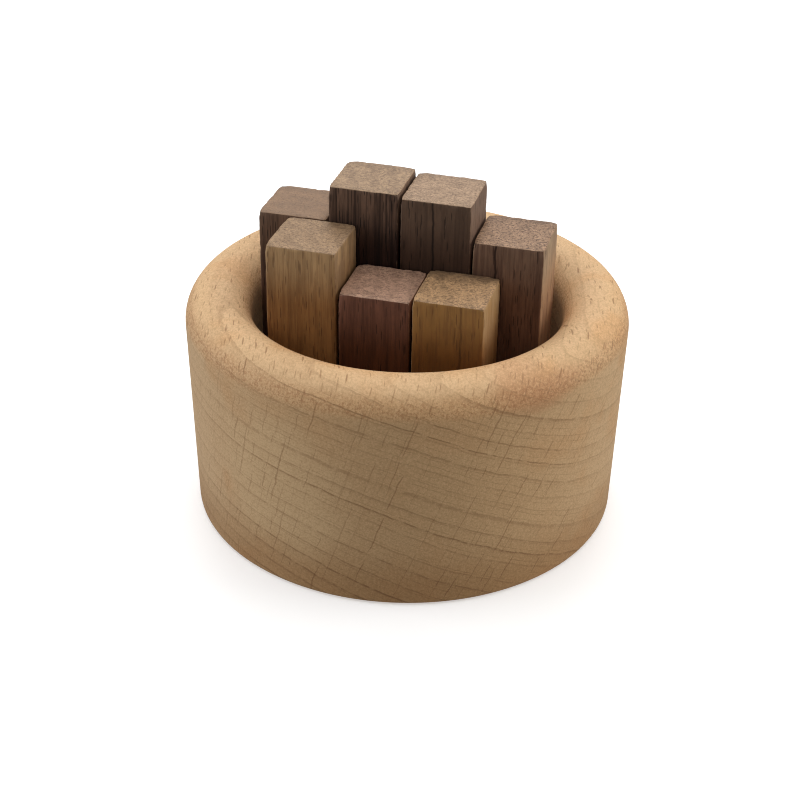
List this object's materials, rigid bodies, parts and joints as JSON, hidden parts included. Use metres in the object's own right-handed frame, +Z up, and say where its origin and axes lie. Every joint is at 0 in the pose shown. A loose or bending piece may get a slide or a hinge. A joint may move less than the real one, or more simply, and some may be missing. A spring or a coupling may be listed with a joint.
{
  "type": "stick packing puzzle",
  "caption": "Short turned wooden cup whose round well is packed with upright square wooden sticks of three lengths, each of which lifts out.",
  "frame": {"origin": "centre of the cup's flat underside", "axes": "+Z up along the cup's axis, out of the well; the rows of sticks run along X, and the front row, whose left stick is the longest of the outer rows, is towards -Y"},
  "size_m": [0.06, 0.06, 0.0467],
  "materials": {
    "beech": "turned, sanded and lightly oiled",
    "golden_walnut": "fine sawn and sanded, eased edges",
    "brown_walnut": "fine sawn and sanded, eased edges",
    "plum_walnut": "fine sawn and sanded, eased edges"
  },
  "bodies": {
    "cup": {"cup": "beech"},
    "front_left_stick": {"front_left_stick": "golden_walnut"},
    "front_middle_stick": {"front_middle_stick": "plum_walnut"},
    "front_right_stick": {"front_right_stick": "golden_walnut"},
    "middle_outer_left_stick": {"middle_outer_left_stick": "brown_walnut"},
    "middle_inner_left_stick": {"middle_inner_left_stick": "brown_walnut"},
    "middle_inner_right_stick": {"middle_inner_right_stick": "brown_walnut"},
    "middle_outer_right_stick": {"middle_outer_right_stick": "plum_walnut"},
    "back_left_stick": {"back_left_stick": "golden_walnut"},
    "back_middle_stick": {"back_middle_stick": "brown_walnut"},
    "back_right_stick": {"back_right_stick": "plum_walnut"}
  },
  "joints": [
    {"name": "lift_front_left_stick", "type": "slide", "parent": "cup", "child": "front_left_stick", "axis": [0, 0, 1], "range_m": [0, 0.042]},
    {"name": "lift_front_middle_stick", "type": "slide", "parent": "cup", "child": "front_middle_stick", "axis": [0, 0, 1], "range_m": [0, 0.042]},
    {"name": "lift_front_right_stick", "type": "slide", "parent": "cup", "child": "front_right_stick", "axis": [0, 0, 1], "range_m": [0, 0.042]},
    {"name": "lift_middle_outer_left_stick", "type": "slide", "parent": "cup", "child": "middle_outer_left_stick", "axis": [0, 0, 1], "range_m": [0, 0.042]},
    {"name": "lift_middle_inner_left_stick", "type": "slide", "parent": "cup", "child": "middle_inner_left_stick", "axis": [0, 0, 1], "range_m": [0, 0.042]},
    {"name": "lift_middle_inner_right_stick", "type": "slide", "parent": "cup", "child": "middle_inner_right_stick", "axis": [0, 0, 1], "range_m": [0, 0.042]},
    {"name": "lift_middle_outer_right_stick", "type": "slide", "parent": "cup", "child": "middle_outer_right_stick", "axis": [0, 0, 1], "range_m": [0, 0.042]},
    {"name": "lift_back_left_stick", "type": "slide", "parent": "cup", "child": "back_left_stick", "axis": [0, 0, 1], "range_m": [0, 0.042]},
    {"name": "lift_back_middle_stick", "type": "slide", "parent": "cup", "child": "back_middle_stick", "axis": [0, 0, 1], "range_m": [0, 0.042]},
    {"name": "lift_back_right_stick", "type": "slide", "parent": "cup", "child": "back_right_stick", "axis": [0, 0, 1], "range_m": [0, 0.042]}
  ]
}
